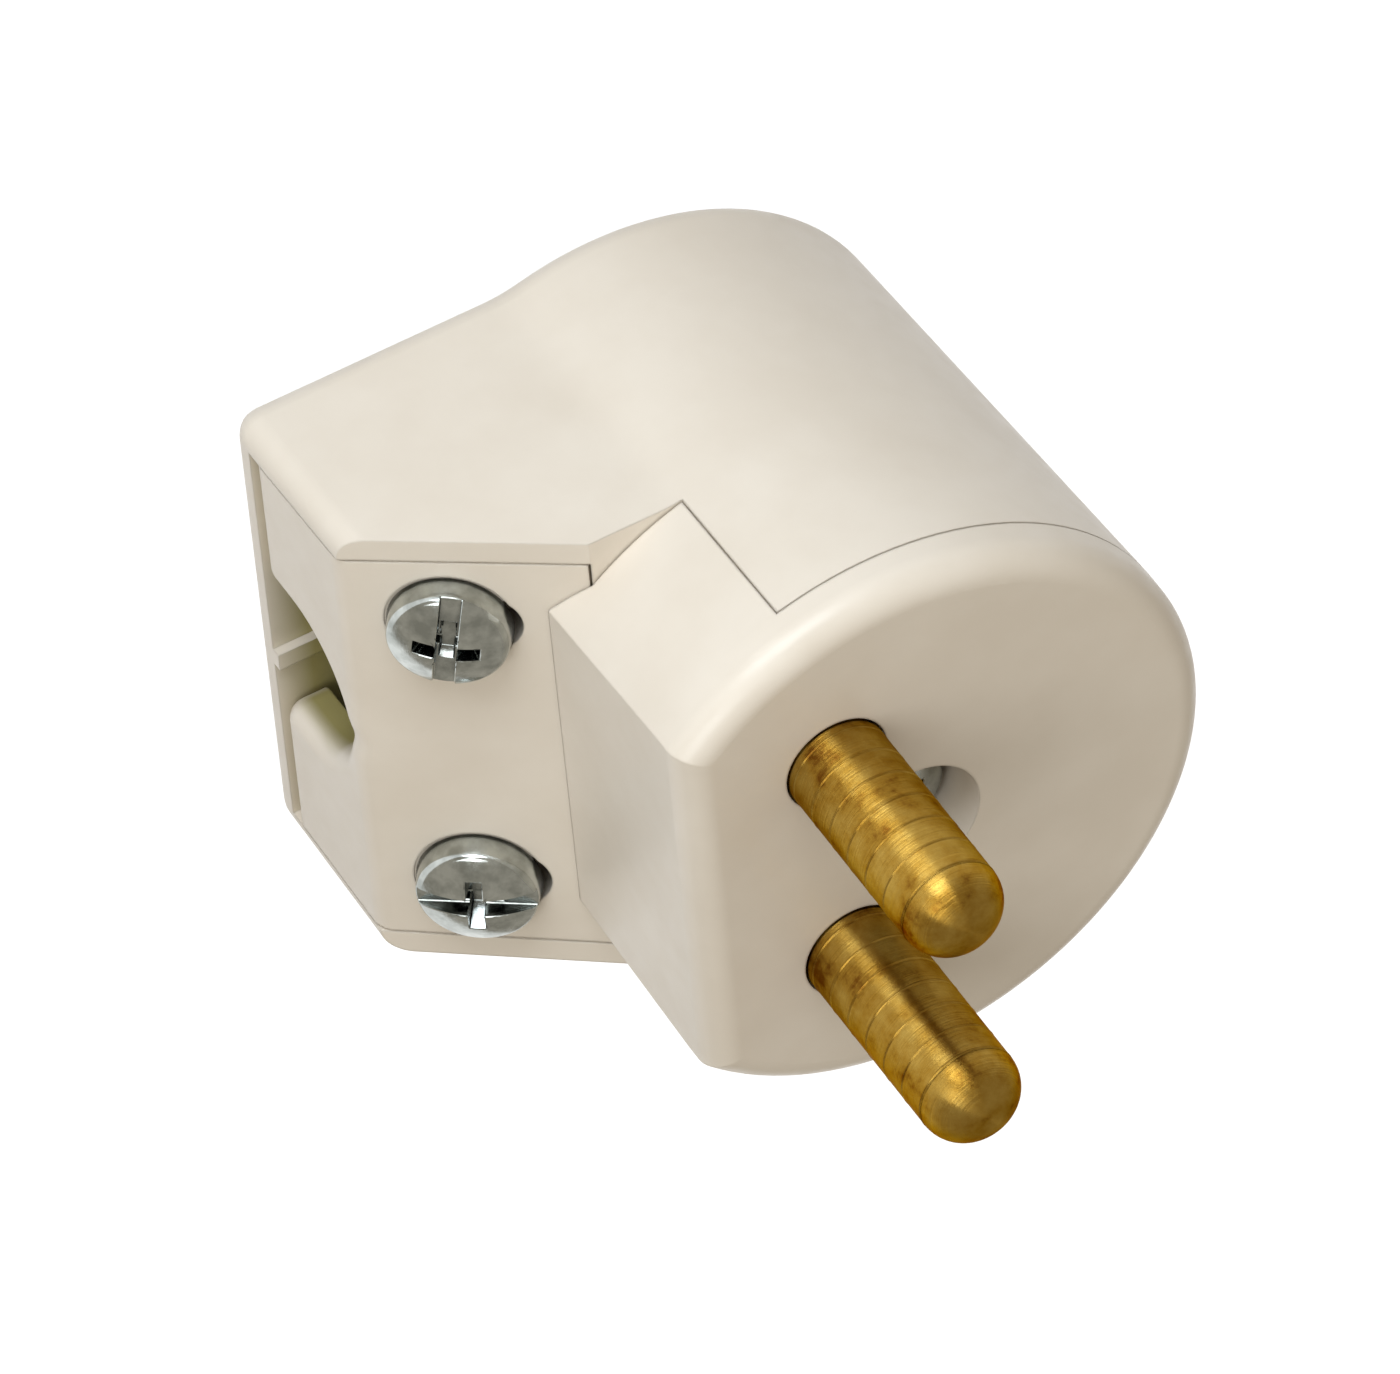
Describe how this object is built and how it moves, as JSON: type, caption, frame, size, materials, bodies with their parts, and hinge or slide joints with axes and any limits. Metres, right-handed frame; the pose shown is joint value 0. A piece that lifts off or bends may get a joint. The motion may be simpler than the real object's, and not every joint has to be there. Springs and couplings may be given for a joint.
{
  "type": "two-pin plug",
  "caption": "Angled mains plug: round moulded body with bare brass pins, and a short side arm whose slanted clamp is screwed down on the cord.",
  "frame": {"origin": "middle of the flat back, on the axis of the round body", "axes": "+Z along the pins, +X along the cord arm"},
  "size_m": [0.0343, 0.0308, 0.0406],
  "materials": {
    "moulding": "satin cream moulding",
    "brass": "turned brass",
    "zinc": "bright zinc plate"
  },
  "bodies": {
    "root": {"rear_cover": "moulding", "pin_carrier": "moulding", "cord_clamp": "moulding", "left_contact_pin": "brass", "right_contact_pin": "brass", "terminal_screws": "zinc", "clamp_screws": "zinc", "centre_screw": "zinc"}
  },
  "joints": []
}
